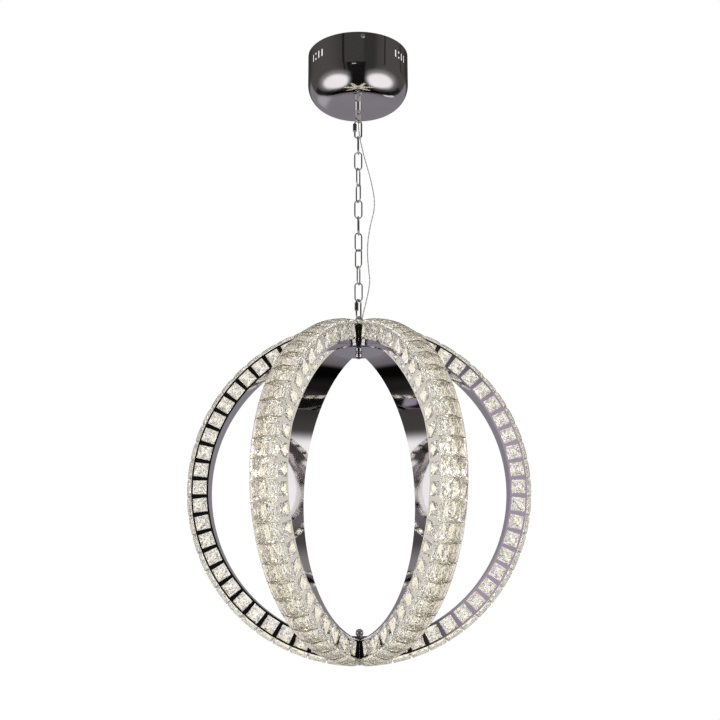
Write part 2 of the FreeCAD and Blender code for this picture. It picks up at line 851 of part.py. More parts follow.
def main():
    os.makedirs("parts", exist_ok=True)
    write("ceiling_bracket", make_ceiling_bracket())
    write("canopy_cup", make_canopy_cup())
    write("canopy_side_screws", make_canopy_side_screws())
    write("led_driver", make_led_driver())
    write("driver_screws", make_driver_screws())
    write("terminal_block", make_terminal_block())
    write("driver_leads", make_driver_leads())
    write("canopy_loop", make_canopy_loop())
    write("loop_washer", make_loop_washer())
    write("loop_nut", make_loop_nut())
    write("canopy_grommet", make_canopy_grommet())
    write("light_cord", tube_along(cord_route, cord_radius, "light cord"))

    quick_link = make_quick_link()
    sleeve_nut = make_sleeve_nut()
    for name, yaw, inner_top in (
        ("top_quick_link", top_quick_yaw, top_quick_inner_top),
        ("bottom_quick_link", bottom_quick_yaw, bottom_quick_inner_top),
    ):
        write(name, hung(quick_link, yaw, inner_top, quick_inner_length))
        write(name + "_nut", hung(sleeve_nut, yaw, inner_top, quick_inner_length))
    link = oval_ring(chain_wire, chain_outer_width, chain_inner_length)
    for k, yaw in enumerate(chain_yaws):
        inner_top = chain_first_inner_top - k * chain_pitch
        write(f"chain_link_{k + 1:02d}", hung(link, yaw, inner_top, chain_inner_length))

    write("orb_eyelet", make_eyelet())
    write("orb_grommet", make_orb_grommet())
    for name, way, height in (("top", 1, top_disc_height), ("bottom", -1, bottom_disc_height)):
        write(name + "_outer_disc", at_pole(make_outer_disc(way > 0), way))
        write(name + "_hub_tube", at_pole(make_hub_tube(), way))
        write(name + "_hub_collar", at_pole(make_hub_collar(height), way))
        write(name + "_inner_disc", at_pole(make_inner_disc(height), way))
        write(name + "_inner_ball", at_pole(make_ball_nut(height), way))
    write("bottom_stud", at_pole(make_bottom_stud(), -1))
    write("bottom_outer_ball", at_pole(make_bottom_ball(), -1))

    frame = make_arc_frame()
    outer_crystals = make_outer_crystals()
    side_crystals = make_side_crystals()
    led_strip = make_led_strip()
    for k in range(arc_count):
        write(f"arc_{k + 1}_frame", at_arc(frame, k))
        write(f"arc_{k + 1}_outer_crystals", at_arc(outer_crystals, k))
        write(f"arc_{k + 1}_side_crystals", at_arc(side_crystals, k))
    write("led_strips", Part.makeCompound([at_arc(led_strip, k) for k in range(arc_count)]))


main()
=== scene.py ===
# %% [markdown]
# # A crystal orb chandelier, piece by piece
#
# The lamp hangs from the ceiling: a round mirror-steel canopy, a chain of welded links with a
# quick link at each end, a thin clear cord beside the chain, and an orb of three crystal rings.
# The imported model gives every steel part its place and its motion. This lesson loads it, and then
# gives each surface the look of the real one.
#
# All lengths are metres, +Z is up, the ceiling is at z = 0 and the front of the lamp is -Y.

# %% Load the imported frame
import json
import math

import bmesh
import bpy
from mathutils import Matrix, Vector


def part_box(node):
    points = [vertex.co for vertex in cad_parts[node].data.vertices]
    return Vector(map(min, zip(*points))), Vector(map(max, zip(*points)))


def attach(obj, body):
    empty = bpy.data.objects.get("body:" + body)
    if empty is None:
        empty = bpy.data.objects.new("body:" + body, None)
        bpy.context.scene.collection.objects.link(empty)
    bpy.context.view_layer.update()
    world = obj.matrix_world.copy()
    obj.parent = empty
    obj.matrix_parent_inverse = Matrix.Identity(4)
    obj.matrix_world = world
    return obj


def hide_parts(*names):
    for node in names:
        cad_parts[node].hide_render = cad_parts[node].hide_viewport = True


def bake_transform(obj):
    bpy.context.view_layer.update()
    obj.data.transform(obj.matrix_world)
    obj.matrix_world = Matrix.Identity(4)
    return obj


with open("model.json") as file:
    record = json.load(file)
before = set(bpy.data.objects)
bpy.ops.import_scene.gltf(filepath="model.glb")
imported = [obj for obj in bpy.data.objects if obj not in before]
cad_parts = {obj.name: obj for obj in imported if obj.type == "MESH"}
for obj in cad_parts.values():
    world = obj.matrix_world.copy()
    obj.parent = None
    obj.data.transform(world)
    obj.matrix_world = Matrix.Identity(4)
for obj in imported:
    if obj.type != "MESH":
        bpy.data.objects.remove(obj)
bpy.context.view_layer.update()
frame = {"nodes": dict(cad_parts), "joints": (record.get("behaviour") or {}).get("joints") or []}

MM = 0.001
arc_low, arc_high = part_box("arc_1_frame")
ORB_CENTRE = Vector((0, 0, (arc_low.z + arc_high.z) / 2))
METAL_RADIUS = arc_high.x
CANOPY_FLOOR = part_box("canopy_cup")[0].z
print("orb centre", round(ORB_CENTRE.z, 4), "metal radius", round(METAL_RADIUS, 4))

# %% [markdown]
# ## The camera
#
# The photograph was taken from below the orb's middle, with the camera tipped up a little: the
# canopy shows its flat underside, and the rings lean together towards the top. The distance and the
# height were worked out from the widths of the rings and the canopy and from the chain's length.
# A lens of 55 mm on a 36 mm wide frame gives the photograph's angle of view. The picture is a sixth
# of a degree off level, so the camera is rolled by that about its own line of sight.

# %% Camera
lens_length = 55.4  # mm
frame_width = 36.0  # mm
camera_from_orb = Vector((2.27, -1969.5, -241.5)) * MM
tilt_up = 13.612  # degrees
roll_off_level = -0.17  # degrees

camera_data = bpy.data.cameras.new("photo_camera")
camera_data.lens = lens_length
camera_data.sensor_width = frame_width
camera = bpy.data.objects.new("photo_camera", camera_data)
camera.location = ORB_CENTRE + camera_from_orb
tilt = Matrix.Rotation(math.radians(90 + tilt_up), 3, "X")
roll = Matrix.Rotation(math.radians(roll_off_level), 3, "Z")
camera.rotation_euler = (tilt @ roll).to_euler()
bpy.context.scene.collection.objects.link(camera)
bpy.context.scene.camera = camera
bpy.context.scene.view_settings.view_transform = "Standard"
print("camera", [round(v, 3) for v in camera.location])

# %% [markdown]
# ## The light cord
#
# A thin clear cord carries the current from the canopy to the orb. It hangs loosely beside the
# chain and bulges to the right. A cord is best made from one smooth spline: a NURBS curve of order
# 3 has no corners at its control points, as a real cord has none. When the chain moves, the cord
# has to bend at each joint of the chain. So the spline is read as points, cut between the joints,
# and each stretch becomes a round tube, one for each joint.

# %% The cord's route, from the canopy's grommet to the orb's
canopy_depth = -CANOPY_FLOOR / MM
canopy_grommet = (0.0, 14.0, 7.5)  # x, y and the depth below the canopy
orb_grommet = (5.0, 12.0, 435.0)
bends = [
    (0.4, 14.6, 27.8),
    (2.4, 15.2, 53.8),
    (10.5, 15.0, 93.8),
    (24.0, 12.6, 143.8),
    (33.2, 10.6, 197.8),
    (21.6, 11.8, 240.8),
    (16.2, 14.2, 283.8),
    (18.6, 15.4, 321.8),
    (21.8, 13.4, 351.8),
    (14.4, 12.2, 388.8),
    (7.0, 12.6, 416.8),
]
route_places = [canopy_grommet, *bends, orb_grommet]
cord_route = [(x, y, -canopy_depth - depth) for x, y, depth in route_places]
cord_radius = 1.0 * MM


def spline_points(route, steps=16):
    """The points of a smooth spline through the space of those control points."""
    curve = bpy.data.curves.new("cord_line", "CURVE")
    curve.dimensions = "3D"
    spline = curve.splines.new("NURBS")
    spline.points.add(len(route) - 1)
    for point, place in zip(spline.points, route):
        point.co = (*(v * MM for v in place), 1)
    spline.order_u = 3
    spline.use_endpoint_u = True
    curve.resolution_u = steps
    holder = bpy.data.objects.new("cord_line", curve)
    mesh = bpy.data.meshes.new_from_object(holder)
    points = [v.co.copy() for v in mesh.vertices]
    bpy.data.objects.remove(holder)
    bpy.data.meshes.remove(mesh)
    return points


cord_line = spline_points(cord_route)
cord_length = sum((b - a).length for a, b in zip(cord_line, cord_line[1:]))
print("cord", round(cord_length * 1000, 1), "mm,", len(cord_line), "points")

# %% The chain's joints from the top down, and the cuts in the cord
swings = [j for j in frame["joints"] if j["type"] == "hinge"]
swings.sort(key=lambda j: -j["pos_m"][2])
pivots = [j["pos_m"][2] for j in swings]
first_cut_depth, last_cut_depth = 48.3 * MM, 404.3 * MM  # below the canopy
cut_step = (last_cut_depth - first_cut_depth) / (len(swings) - 2)
cuts = [CANOPY_FLOOR - first_cut_depth - k * cut_step for k in range(len(swings) - 1)]
bend_reach = 8 * MM  # a reach above and below a joint
print("joints", len(swings), "cord cuts", [round(c * 1000, 1) for c in cuts])


# %% Helpers for the cord's pieces
def point_at_height(line, z):
    """Where the line crosses that height."""
    for a, b in zip(line, line[1:]):
        if (a.z - z) * (b.z - z) <= 0 and a.z != b.z:
            return a.lerp(b, (z - a.z) / (b.z - a.z))


def link_object(name, mesh):
    """Makes an object of the mesh and puts it in the scene."""
    obj = bpy.data.objects.new(name, mesh)
    bpy.context.scene.collection.objects.link(obj)
    return obj


def tube(name, path, radius, sides=12):
    """A round tube along those points, with a length coordinate along it."""
    bm = bmesh.new()
    along = 0.0
    rings = []
    run = bm.verts.layers.float.new("along")
    for i, p in enumerate(path):
        ahead = path[min(i + 1, len(path) - 1)] - path[max(i - 1, 0)]
        side = ahead.cross(Vector((0, 1, 0))).normalized()
        other = ahead.cross(side).normalized()
        if i:
            along += (p - path[i - 1]).length
        ring = []
        for k in range(sides):
            turn = 2 * math.pi * k / sides
            v = bm.verts.new(p + side * radius * math.cos(turn) + other * radius * math.sin(turn))
            v[run] = along
            ring.append(v)
        rings.append(ring)
    for a, b in zip(rings, rings[1:]):
        for k in range(sides):
            bm.faces.new((a[k], a[(k + 1) % sides], b[(k + 1) % sides], b[k]))
    bm.faces.new(rings[0])
    bm.faces.new(list(reversed(rings[-1])))
    bmesh.ops.recalc_face_normals(bm, faces=bm.faces)
    for f in bm.faces:
        f.smooth = len(f.verts) == 4
    mesh = bpy.data.meshes.new(name)
    bm.to_mesh(mesh)
    bm.free()
    return link_object(name, mesh)


# %% Tubes along the cord, one for each joint
piece_ends = [cord_line[0].z] + cuts + [cord_line[-1].z]
clear_of_cut = 0.5 * MM
cord_pieces = []
for k, joint in enumerate(swings):
    high, low = piece_ends[k], piece_ends[k + 1]
    inner = [p for p in cord_line if low + clear_of_cut < p.z < high - clear_of_cut]
    start = cord_line[0] if k == 0 else point_at_height(cord_line, high)
    end = cord_line[-1] if k == len(swings) - 1 else point_at_height(cord_line, low)
    path = [start] + inner + [end]
    piece = tube(f"cord_{k + 1:02d}", path, cord_radius)
    length = sum((b - a).length for a, b in zip(path, path[1:]))
    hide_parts("light_cord")
    pivots[k] + bend_reach
    pivots[k] - bend_reach
    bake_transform(piece)
    cord_pieces.append(piece)
print("cord pieces", len(cord_pieces))

# %% [markdown]
# ## Writing finishes as sums
#
# A material in Blender is a net of small nodes. Adding them one by one in code is slow to read, so
# a small class wraps a socket: a +, - or * on it adds the Math node. Every other node comes from
# one method that takes the node's type, its settings and its inputs.


# %% Sockets that can be added and multiplied
class Val:
    """A socket that carries a value. A sum or a product of it adds a Math node."""

    def __init__(self, finish, socket):
        self.finish = finish
        self.socket = socket

    def maths(self, operation, *others):
        values = dict(enumerate((self, *others)))
        return self.finish.node("ShaderNodeMath", {"operation": operation}, values)

    def __add__(self, other):
        return self.maths("ADD", other)

    def __rsub__(self, other):
        values = {0: other, 1: self}
        return self.finish.node("ShaderNodeMath", {"operation": "SUBTRACT"}, values)

    def __mul__(self, other):
        return self.maths("MULTIPLY", other)

    __radd__ = __add__
    __rmul__ = __mul__

    def above(self, edge):
        return self.maths("GREATER_THAN", edge)

    def below(self, edge):
        return self.maths("LESS_THAN", edge)

    def ramp(self, low, high):
        """Runs smoothly from 0 to 1 while this value goes from low to high."""
        settings = {"interpolation_type": "SMOOTHSTEP"}
        values = {"Value": self, "From Min": low, "From Max": high}
        return self.finish.node("ShaderNodeMapRange", settings, values)


class Finish:
    """A material or a world, being written."""

    def __init__(self, owner):
        self.owner = owner
        owner.use_nodes = True
        self.tree = owner.node_tree
        self.tree.nodes.clear()

    def node(self, kind, settings=None, inputs=None, out=0):
        """Adds a node, sets it up, and gives back one output, or the node itself."""
        made = self.tree.nodes.new(kind)
        for key, value in (settings or {}).items():
            setattr(made, key, value)
        for key, value in (inputs or {}).items():
            self.connect(value, made.inputs[key])
        if out is None:
            return made
        return Val(self, made.outputs[out])

    def place(self):
        """Object coordinates, in metres."""
        return self.node("ShaderNodeTexCoord", out="Object")

    def split(self, vector):
        """The three parts of a vector."""
        parts = self.node("ShaderNodeSeparateXYZ", {}, {"Vector": vector}, out=None)
        return [Val(self, output) for output in parts.outputs]

    def vector_maths(self, operation, *vectors, out=0, **more):
        inputs = {**dict(enumerate(vectors)), **more}
        return self.node("ShaderNodeVectorMath", {"operation": operation}, inputs, out=out)

    def noise(self, place, scale, detail=2.0):
        inputs = {"Vector": place, "Scale": scale, "Detail": detail}
        return self.node("ShaderNodeTexNoise", {}, inputs, out="Fac")

    def mix(self, factor, a, b):
        """Colour a where the factor is 0, colour b where it is 1."""
        made = self.node("ShaderNodeMix", {"data_type": "RGBA"}, out=None)
        self.connect(factor, made.inputs["Factor"])
        for socket, value in zip([s for s in made.inputs if s.type == "RGBA"], (a, b)):
            self.connect(value, socket)
        return Val(self, [s for s in made.outputs if s.type == "RGBA"][0])

    def connect(self, value, socket):
        if isinstance(value, Val):
            self.tree.links.new(value.socket, socket)
        elif isinstance(value, tuple) and socket.type == "RGBA":
            socket.default_value = (*value, 1)
        else:
            socket.default_value = value

    def bump(self, height, distance, strength):
        inputs = {"Height": height, "Distance": distance, "Strength": strength}
        return self.node("ShaderNodeBump", {}, inputs, out="Normal")

    def surface(self, **inputs):
        """The shader itself. Names are the shader's sockets, with _ for a space."""
        values = {name.replace("_", " "): value for name, value in inputs.items()}
        shader = self.node("ShaderNodeBsdfPrincipled", {}, values, out=0)
        self.node("ShaderNodeOutputMaterial", {}, {"Surface": shader}, out=None)
        return self.owner


def new_finish(name):
    return Finish(bpy.data.materials.new(name))


# %% [markdown]
# ## The studio
#
# Mirror steel has no look of its own: it shows the room. So the world is a dark room with two large
# soft lamps in front, a pale ceiling and a grey-mauve sheet behind, written as soft steps of the
# direction in which a ray runs off. Only mirror rays see it. The camera sees plain white, glass
# sees a warm, broken light, and everything else gets soft white light.

# %% The way a ray runs off
class Way:
    """A ray's direction in three parts, and how far it is from the middle."""

    def __init__(self, finish, direction):
        self.x, self.y, self.z = finish.split(direction)
        self.across = self.x.maths("ABSOLUTE")

    def towards(self, x, y, z):
        """1 where the ray runs straight that way, less to the sides."""
        return self.x * x + self.y * y + self.z * z


def band(value, low, high, soft):
    """1 between low and high, with soft edges."""
    return value.ramp(low - soft, low + soft) * value.ramp(high + soft, high - soft)


# %% [markdown]
# The front wall is nearly black, with a few thin lines and one bright dash. The two lamps stand in
# front of it, left and right. The canopy hangs half a metre above the orb, so it sees the same
# lamps lower down, and a wider dark middle between them. The next two functions hold both views.

# %% The dark wall and the soft lamps in front
LAMPS_FROM_CANOPY = ((-0.65, -0.25, -0.72), (0.66, -0.28, -0.70))
LAMPS_FROM_ORB = ((-0.68, -0.36, -0.64), (0.76, -0.38, -0.53))


def wall_seen(way, from_canopy):
    """How bright the front wall is."""
    wall = 0.055 + way.across.ramp(0.5, 0.9) * 0.03
    wall = wall * (1 - band(way.x, 0.2, 0.6, 0.06) * 0.3)
    left_line = band(way.x, -0.52, -0.45, 0.01)
    right_line = band(way.x, 0.775, 0.80, 0.008) * way.z.ramp(0.38, 0.44)
    wall = wall * (1 - (left_line + right_line) * 0.7)
    if from_canopy:
        middle = band(way.x, -0.40, 0.28, 0.06)
        shade = band(way.y, 0.40, 0.60, 0.05) * 0.8
    else:
        middle = way.across.ramp(0.34, 0.26)
        shade = band(way.y, 0.20, 0.60, 0.06) * 0.7
    wall = wall * (1 - middle * way.z.ramp(0.46, 0.38) * 0.85)
    return wall * (1 - shade * way.z.ramp(-0.15, -0.30))


def lamps_seen(way, from_canopy):
    """How bright the lamps are, each a core in a wide halo."""
    if from_canopy:
        lamps = [way.towards(*place) for place in LAMPS_FROM_CANOPY]
        bright = sum(v.ramp(0.78, 1.02) * 0.9 + v.ramp(0.45, 0.90) * 0.35 for v in lamps)
        return bright * way.across.ramp(0.14, 0.42) * way.y.ramp(0.62, -0.05)
    lamps = [way.towards(*place) for place in LAMPS_FROM_ORB]
    bright = sum(v.ramp(0.76, 0.95) + v.ramp(0.5, 0.85) * 0.10 for v in lamps)
    bright = bright * way.across.ramp(0.22, 0.48) * way.y.ramp(0.35, 0.05)
    beside = way.across.ramp(0.72, 0.78) * way.y.ramp(-0.30, -0.40)
    return bright * way.z.ramp(-0.74, -0.54) + beside * band(way.z, -0.42, 0.26, 0.05)


# %% [markdown]
# Behind is the sheet, darker towards the floor, with one pale patch and a thin white edge. The orb
# also sees two tinted panels: a cream one far out to each side, and a small lilac one in front.

# %% The whole room
LAMP_WHITE = (1.1, 1.08, 1.1)
WARM_WALL = (1.0, 0.93, 0.90)
CEILING_GREY = (0.26, 0.245, 0.265)
SHEET_MAUVE = (0.25, 0.235, 0.265)
SHEET_IN_SHADE = (0.12, 0.105, 0.115)
CREAM_PANEL = (0.80, 0.78, 0.70)
LILAC_PANEL = (0.44, 0.38, 0.47)


def room_in_mirrors(finish, direction, from_canopy):
    """The colour that a mirror ray finds when it runs off in that direction."""
    way = Way(finish, direction)
    sheet_colour = finish.mix(way.z.ramp(-0.85, -0.55), SHEET_IN_SHADE, SHEET_MAUVE)
    seen = finish.mix(wall_seen(way, from_canopy), (0.0, 0.0, 0.0), WARM_WALL)
    seen = finish.mix(way.z.ramp(0.55, 0.75), seen, CEILING_GREY)
    seen = finish.mix(way.y.ramp(0.58, 0.66) * way.z.ramp(0.40, 0.12), seen, sheet_colour)
    if not from_canopy:
        far_out = band(way.y, 0.35, 0.70, 0.08) * way.across.ramp(0.60, 0.72)
        seen = finish.mix(far_out * band(way.z, -0.10, 0.34, 0.06), seen, CREAM_PANEL)
        in_front = band(way.x, 0.07, 0.22, 0.02) * way.y.ramp(0.0, -0.2)
        seen = finish.mix(in_front * band(way.z, -0.01, 0.22, 0.04), seen, LILAC_PANEL)
    dash = band(way.x, -0.22, -0.06, 0.015) * band(way.z, 0.29, 0.34, 0.012)
    dash = dash * way.y.ramp(0.0, -0.2) * 0.8
    edge = band(way.x, 0.30, 0.56, 0.02) * band(way.y, 0.60, 0.67, 0.01)
    edge = edge * way.z.ramp(0.0, -0.1) * 0.6
    patch = way.towards(-0.43, 0.78, -0.46).ramp(0.93, 1.0) * 0.3
    bright = lamps_seen(way, from_canopy) + dash + edge + patch
    return finish.mix(bright.ramp(0.0, 1.0), seen, LAMP_WHITE)


world = bpy.data.worlds.new("studio")
bpy.context.scene.world = world
room = Finish(world)
direction = room.node("ShaderNodeTexCoord", out="Generated")
seen = room_in_mirrors(room, direction, from_canopy=False)
print("room", len(room.tree.nodes), "nodes")

# %% [markdown]
# A ray that has gone through cut glass comes out in almost any direction. So glass gets a light of
# its own: bright and dim patches, brighter above and below, with fine white sparks among them.

# %% What glass sees
DIM_GLASS = (0.19, 0.175, 0.17)
WARM_GLASS = (1.0, 0.95, 0.80)
GLASS_SPARK = (1.15, 1.15, 1.18)
height = room.split(direction)[2]
more_light = height.ramp(0.3, 0.9) * 0.5 + height.ramp(-0.2, -0.8) * 0.8
patches = room.noise(direction, 1.7, detail=1)
sparks = room.noise(direction, 5.0, detail=1)
through_glass = room.mix(patches.ramp(0.40, 0.52) + more_light, DIM_GLASS, WARM_GLASS)
through_glass = room.mix(sparks.ramp(0.49, 0.56) * 0.7, through_glass, GLASS_SPARK)
print("room and glass light", len(room.tree.nodes), "nodes")

# %% [markdown]
# A world can ask what kind of ray has reached it. Mirror rays get the room, rays through glass get
# the broken light, the camera gets plain white, and what lights plastic and paint is an even white.

# %% Which rays see the room, and which see plain white
path = room.node("ShaderNodeLightPath", out=None)
is_camera, is_glossy, is_glass = (
    Val(room, path.outputs[f"Is {kind} Ray"]) for kind in ("Camera", "Glossy", "Transmission")
)
EVEN_LIGHT = (0.80, 0.80, 0.80)
PLAIN_WHITE = (1.0, 1.0, 1.0)
light = room.mix(is_glossy, EVEN_LIGHT, seen)
light = room.mix(is_glass, light, through_glass)
light = room.mix(is_camera, light, PLAIN_WHITE)
background = room.node("ShaderNodeBackground", {}, {"Color": light, "Strength": 1.0})
room.node("ShaderNodeOutputWorld", {}, {"Surface": background}, out=None)
print("world ready")

# %% [markdown]
# ## A room of its own for the canopy
#
# A world knows only a ray's direction, not where it started, so it can't show the canopy another
# view. A dome around the studio can: a ray's line is followed back from the dome, and if it passes
# close to the canopy's middle, it came from there. Those rays see the canopy's view of the room,
# and all others go through the dome as if it weren't there.

# %% The dome
canopy_middle = Vector((0, 0, CANOPY_FLOOR / 2))
canopy_reach = 125 * MM  # from the canopy's middle to past its farthest point
dome_radius = 4.0
dome_mesh = bpy.data.meshes.new("studio_dome")
bm = bmesh.new()
bmesh.ops.create_uvsphere(bm, u_segments=48, v_segments=24, radius=dome_radius)
bm.to_mesh(dome_mesh)
bm.free()
dome = link_object("studio_dome", dome_mesh)
for kind in ("camera", "diffuse", "transmission", "shadow", "volume_scatter"):
    setattr(dome, "visible_" + kind, False)

backdrop = new_finish("studio_dome")
hit = backdrop.node("ShaderNodeNewGeometry", out=None)
place, back = (Val(backdrop, hit.outputs[name]) for name in ("Position", "Incoming"))
to_middle = backdrop.vector_maths("SUBTRACT", tuple(canopy_middle), place)
off_line = backdrop.vector_maths("CROSS_PRODUCT", to_middle, back)
miss = backdrop.vector_maths("LENGTH", off_line, out="Value")
away = backdrop.vector_maths("SCALE", back, Scale=-1.0)
shown = room_in_mirrors(backdrop, away, from_canopy=True)
shining = backdrop.node("ShaderNodeEmission", {}, {"Color": shown, "Strength": 1.0})
clear = backdrop.node("ShaderNodeBsdfTransparent")
choice = {0: miss.below(canopy_reach), 1: clear, 2: shining}
chosen = backdrop.node("ShaderNodeMixShader", {}, choice)
backdrop.node("ShaderNodeOutputMaterial", {}, {"Surface": chosen}, out=None)
backdrop.owner.cycles.emission_sampling = "NONE"
dome_mesh.materials.append(backdrop.owner)
print("dome", dome_radius, "m, for rays within", round(canopy_reach, 3), "m of the canopy's middle")

# %% [markdown]
# ## Lamps and floor
#
# Two weak round lamps give the plastic and the floor some shape. Mirrors don't see them, because
# the room already has its lamps. The floor is pale and far below, and glass and mirrors pass it by.


# %% Two weak lamps
def area_lamp(name, place, aim, size, watts):
    """A round lamp at a place, turned to its aim."""
    data = bpy.data.lights.new(name, "AREA")
    data.shape = "DISK"
    data.size = size
    data.energy = watts
    lamp_object = bpy.data.objects.new(name, data)
    lamp_object.location = place
    way = Vector(aim) - Vector(place)
    lamp_object.rotation_euler = way.to_track_quat("-Z", "Y").to_euler()
    bpy.context.scene.collection.objects.link(lamp_object)
    lamp_object.visible_glossy = False
    print(name, watts, "W")


lamp_aim = (0, 0, -0.7)
area_lamp("left_softbox", (-1.8, -1.9, -0.2), lamp_aim, size=1.2, watts=12)
area_lamp("right_softbox", (1.9, -1.6, -0.4), lamp_aim, size=1.2, watts=10)

# %% The pale floor
floor_height = -1.9
floor_radius = 3.2
floor_mesh = bpy.data.meshes.new("floor")
bm = bmesh.new()
bmesh.ops.create_circle(bm, cap_ends=True, segments=96, radius=floor_radius)
bmesh.ops.translate(bm, verts=bm.verts, vec=(0, 0, floor_height))
bm.to_mesh(floor_mesh)
bm.free()
floor = link_object("floor", floor_mesh)
floor.visible_glossy = False
floor.visible_transmission = False

pale = new_finish("pale_floor")
speckle = pale.noise(pale.place(), 14.0, detail=4)
floor_colour = pale.mix(speckle.ramp(0.3, 0.7), (0.86, 0.86, 0.86), (0.90, 0.90, 0.90))
floor_mesh.materials.append(pale.surface(Base_Color=floor_colour, Roughness=0.75))
print("floor at", floor_height, "m")

# %% [markdown]
# ## Mirror steel
#
# The canopy, the arcs, the hubs and the chain are polished steel with a slightly dark chrome plate.
# A perfect mirror looks false, because real polish has a faint haze that comes and goes, and sheet
# metal is never quite flat. So the roughness drifts a little, and a shallow, wide bump bends the
# reflections by a hair.

# %% Mirror steel and its tinted cousins
def mirror_steel(name, colour, haze, ripple):
    """Polished metal: haze is its roughness, ripple the height of its waves in metres."""
    steel = new_finish(name)
    place = steel.place()
    drift = steel.noise(place, 18.0, detail=3)
    specks = steel.noise(place, 420.0)
    rough = haze + drift.ramp(0.3, 0.7) * (0.5 * haze) + specks.ramp(0.62, 0.8) * (0.8 * haze)
    wave = steel.noise(place, 26.0, detail=1)
    return steel.surface(
        Base_Color=steel.mix(drift.ramp(0.35, 0.65), colour, tuple(0.93 * c for c in colour)),
        Metallic=1.0,
        Roughness=rough,
        Normal=steel.bump(wave, ripple, 0.3),
    )


# %% [markdown]
# The canopy's cup is mirror steel outside. Its inside is painted light: a pale satin white with a
# faint glow, for the light that comes in through all its vents. The inside shows only as bright
# slots and dots where the vents are. One material does both: a point that is nearer to the axis
# than the outer wall, and above the rounded bottom edge, is inside.

# %% The canopy's steel and its pale inside
outer_wall = 96.4 * MM  # from the axis
rounded_edge_top = CANOPY_FLOOR + 46 * MM


def canopy_finish():
    steel = new_finish("canopy_mirror_steel")
    place = steel.place()
    x, y, z = steel.split(place)
    from_axis = (x * x + y * y).maths("SQRT")
    inside = from_axis.below(outer_wall) * z.above(rounded_edge_top)
    drift = steel.noise(place, 18.0, detail=3)
    tint = steel.mix(drift.ramp(0.35, 0.65), (0.78, 0.75, 0.76), (0.73, 0.70, 0.71))
    wave = steel.noise(place, 26.0, detail=1)
    return steel.surface(
        # the inside's pale white and its glow are painted light, for the light seen through the
        # vents
        Base_Color=steel.mix(inside, tint, (0.93, 0.93, 0.92)),
        Metallic=1 - inside,
        Roughness=0.055 + drift.ramp(0.3, 0.7) * 0.03 + inside * 0.4,
        Emission_Color=steel.mix(inside, (0.0, 0.0, 0.0), (1.0, 1.0, 1.0)),
        Emission_Strength=0.45,
        Normal=steel.bump(wave, 0.2 * MM, 0.3),
    )


canopy_steel = canopy_finish()
arc_steel = mirror_steel("arc_mirror_steel", (0.80, 0.775, 0.78), 0.03, 0.0001)
chain_steel = mirror_steel("chain_chrome", (0.74, 0.72, 0.72), 0.08, 0.0001)
hub_steel = mirror_steel("hub_chrome", (0.80, 0.79, 0.82), 0.04, 0.0001)
zinc = mirror_steel("zinc_plate", (0.60, 0.61, 0.63), 0.32, 0.0002)
print("metal finishes", [m.name for m in (canopy_steel, arc_steel, chain_steel, hub_steel, zinc)])

# %% [markdown]
# ## Plastic, rubber and the cord's jacket
#
# Hidden inside the canopy are the driver, the terminal block and two leads. They are plain moulded
# plastic. The cord beside the chain is a clear jacket over twisted silvery wires, so its colour
# comes and goes along it, once about every 9 mm and never quite evenly.

# %% Moulded plastic and rubber
def moulded(name, colour, rough):
    """Plain plastic with a fine moulded grain."""
    plastic = new_finish(name)
    place = plastic.place()
    cloud = plastic.noise(place, 40.0)
    grain = plastic.noise(place, 900.0)
    shade = plastic.mix(cloud.ramp(0.3, 0.7), colour, tuple(0.9 * c for c in colour))
    return plastic.surface(
        Base_Color=shade,
        Roughness=rough + grain.ramp(0.3, 0.7) * 0.12,
        Normal=plastic.bump(grain, 0.04 * MM, 0.5),
    )


case_plastic = moulded("driver_case_plastic", (0.80, 0.80, 0.79), 0.45)
block_plastic = moulded("terminal_plastic", (0.82, 0.81, 0.76), 0.40)
lead_plastic = moulded("lead_jacket", (0.78, 0.78, 0.78), 0.38)
black_rubber = moulded("black_rubber", (0.03, 0.03, 0.032), 0.5)
print("plastics", [m.name for m in (case_plastic, block_plastic, lead_plastic, black_rubber)])

# %% The cord's clear jacket over its silvery strands
jacket = new_finish("clear_cord_jacket")
run = jacket.node("ShaderNodeAttribute", {"attribute_name": "along"}, out="Fac")
streaks = jacket.noise(jacket.place(), 900.0, detail=3)
waves_along = 700.0  # radians per metre
unevenness = 6.0
strand = (run * waves_along + streaks * unevenness).maths("SINE")
wire_colour = jacket.mix(strand.ramp(-0.6, 0.8), (0.40, 0.39, 0.39), (0.66, 0.65, 0.64))
cord_finish = jacket.surface(
    Base_Color=wire_colour, Roughness=0.22 + streaks * 0.1, Metallic=0.35, Coat_Weight=0.4
)
print("cord finish", cord_finish.name)

# %% [markdown]
# ## Light inside the arcs
#
# Each arc is a channel with a strip of small warm lamps along its floor. The strip itself is white,
# and every chip on it is a little block that glows more strongly. One finish does both: the chips
# stand further out from the orb's middle, so the distance from there tells chip from strip.

# %% The lamp strip
chip_faces = METAL_RADIUS - 26.4 * MM  # from the orb's middle
strip = new_finish("lamp_strip")
offset = strip.vector_maths("SUBTRACT", strip.place(), tuple(ORB_CENTRE))
from_middle = strip.vector_maths("LENGTH", offset, out="Value")
glow = strip.mix(from_middle.above(chip_faces), (0.52, 0.48, 0.37), (1.0, 0.95, 0.80))
spots = strip.noise(strip.place(), 160.0)
lamp_strip = strip.surface(
    Base_Color=strip.mix(spots.ramp(0.3, 0.7), (0.86, 0.84, 0.76), (0.92, 0.90, 0.82)),
    Roughness=0.5,
    Emission_Color=glow,
    Emission_Strength=0.85,
)
print("chips' faces at", round(chip_faces / MM, 1), "mm from the orb's middle")

# %% [markdown]
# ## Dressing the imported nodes
#
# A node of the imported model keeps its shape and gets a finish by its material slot.


# %% Dress every node
def dress(node, material):
    """Gives the node that finish and no other."""
    mesh = frame["nodes"][node].data
    mesh.materials.clear()
    mesh.materials.append(material)


